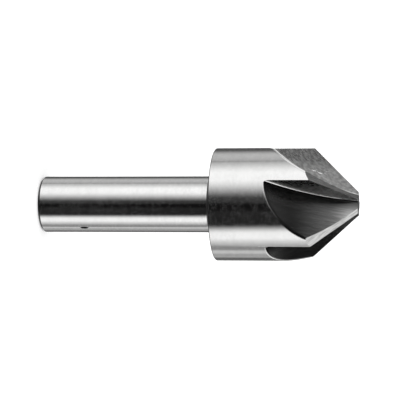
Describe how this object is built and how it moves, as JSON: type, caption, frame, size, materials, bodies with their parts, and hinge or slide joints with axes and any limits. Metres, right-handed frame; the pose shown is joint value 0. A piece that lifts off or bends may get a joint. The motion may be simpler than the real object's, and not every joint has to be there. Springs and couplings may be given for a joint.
{
  "type": "countersink bit",
  "caption": "Right-hand multi-flute 90 degree countersink bit in bright tool steel, with a parallel shank for a drill chuck or collet.",
  "frame": {"origin": "middle of the end face of the shank, at the centre hole, on which the tool stands", "axes": "+Z along the tool's axis from the shank's end to the cutting nose; -Y is the side seen in the main view, where the first cutting edge lies 24.9 degrees towards -X"},
  "size_m": [0.02, 0.02, 0.0569],
  "materials": {
    "tool_steel": "bright ground and buffed steel"
  },
  "bodies": {
    "root": {"countersink_bit": "tool_steel"}
  },
  "joints": []
}
